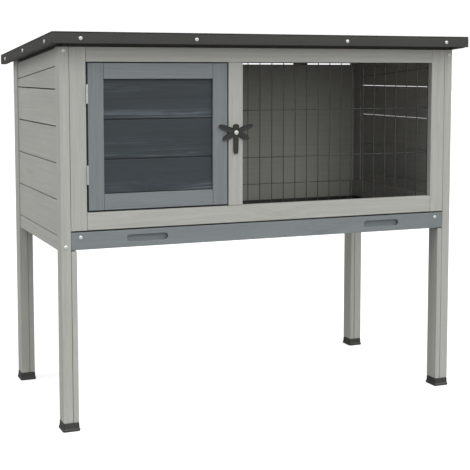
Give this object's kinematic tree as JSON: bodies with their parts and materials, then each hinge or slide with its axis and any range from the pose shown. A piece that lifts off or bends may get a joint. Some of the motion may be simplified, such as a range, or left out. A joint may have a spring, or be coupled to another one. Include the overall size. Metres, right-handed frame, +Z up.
{
  "type": "rabbit hutch",
  "caption": "Raised wooden hutch on four legs with a hinged front door and turn latch, a wire window, a pull-out tray and a hinged pent roof.",
  "frame": {"origin": "on the ground, under the middle of the hutch's bounding box", "axes": "+Z up, front (door and window) towards -Y, +X to the right of someone facing the front"},
  "size_m": [0.8692, 0.478, 0.7362],
  "materials": {
    "body_wood": "warm light grey paint over softwood, fine grain showing",
    "trim_wood": "blue-grey paint over softwood",
    "slate_wood": "dark slate stain over softwood, grain showing",
    "roof_wood": "charcoal paint over softwood",
    "roof_felt": "mineral-faced bitumen roofing felt, matt",
    "foot_plastic": "black moulded plastic",
    "tray_plastic": "dark grey moulded plastic",
    "zinc": "bright zinc-plated steel",
    "dark_metal": "charcoal powder-coated metal",
    "wire": "dark grey coated welded wire"
  },
  "bodies": {
    "carcass": {"back_panel": "body_wood", "back_top_rail": "body_wood", "door_hinge_lower_frame_leaf": "zinc", "door_hinge_upper_frame_leaf": "zinc", "foot_back_left": "foot_plastic", "foot_back_right": "foot_plastic", "foot_front_left": "foot_plastic", "foot_front_right": "foot_plastic", "front_bottom_rail": "body_wood", "front_stile_centre": "body_wood", "front_stile_left": "body_wood", "front_stile_right": "body_wood", "front_top_rail": "body_wood", "latch_screw": "zinc", "leg_board_back_left": "body_wood", "leg_board_back_right": "body_wood", "leg_board_front_left": "body_wood", "leg_board_front_right": "body_wood", "post_back_left": "body_wood", "post_back_right": "body_wood", "post_front_left": "body_wood", "post_front_right": "body_wood", "roof_hinge_left_wall_leaf": "zinc", "roof_hinge_right_wall_leaf": "zinc", "side_board_left_1": "body_wood", "side_board_left_2": "body_wood", "side_board_left_3": "body_wood", "side_board_left_4": "body_wood", "side_board_left_5": "body_wood", "side_board_right_1": "body_wood", "side_board_right_2": "body_wood", "side_board_right_3": "body_wood", "side_board_right_4": "body_wood", "side_board_right_5": "body_wood", "side_bottom_rail_left": "body_wood", "side_bottom_rail_right": "body_wood", "side_top_rail_left": "body_wood", "side_top_rail_right": "body_wood", "tray_runner_left": "body_wood", "tray_runner_right": "body_wood", "window_mesh": "wire"},
    "door": {"door_board_1": "slate_wood", "door_board_2": "slate_wood", "door_board_3": "slate_wood", "door_hinge_lower_door_leaf": "zinc", "door_hinge_upper_door_leaf": "zinc", "door_rail_bottom": "trim_wood", "door_rail_top": "trim_wood", "door_stile_hinge_side": "trim_wood", "door_stile_latch_side": "trim_wood"},
    "latch": {"latch": "dark_metal"},
    "tray": {"tray_front_board": "trim_wood", "tray_pan": "tray_plastic"},
    "roof": {"roof_deck": "roof_wood", "roof_fascia_front": "roof_wood", "roof_fascia_left": "roof_wood", "roof_fascia_right": "roof_wood", "roof_felt": "roof_felt", "roof_hinge_left_roof_leaf": "zinc", "roof_hinge_right_roof_leaf": "zinc"}
  },
  "joints": [
    {"name": "door_hinge", "type": "hinge", "parent": "carcass", "child": "door", "pos_m": [-0.3646, -0.2107, 0.5453], "axis": [0, 0, -1], "range_deg": [0, 170]},
    {"name": "latch_turn", "type": "hinge", "parent": "carcass", "child": "latch", "pos_m": [-0.0719, -0.2113, 0.5481], "axis": [0, 1, 0], "continuous": true},
    {"name": "tray_slide", "type": "slide", "parent": "carcass", "child": "tray", "axis": [0, -1, 0], "range_m": [0, 0.34]},
    {"name": "roof_hinge", "type": "hinge", "parent": "carcass", "child": "roof", "pos_m": [0, 0.2057, 0.6891], "axis": [-1, 0, 0], "range_deg": [0, 90]}
  ]
}
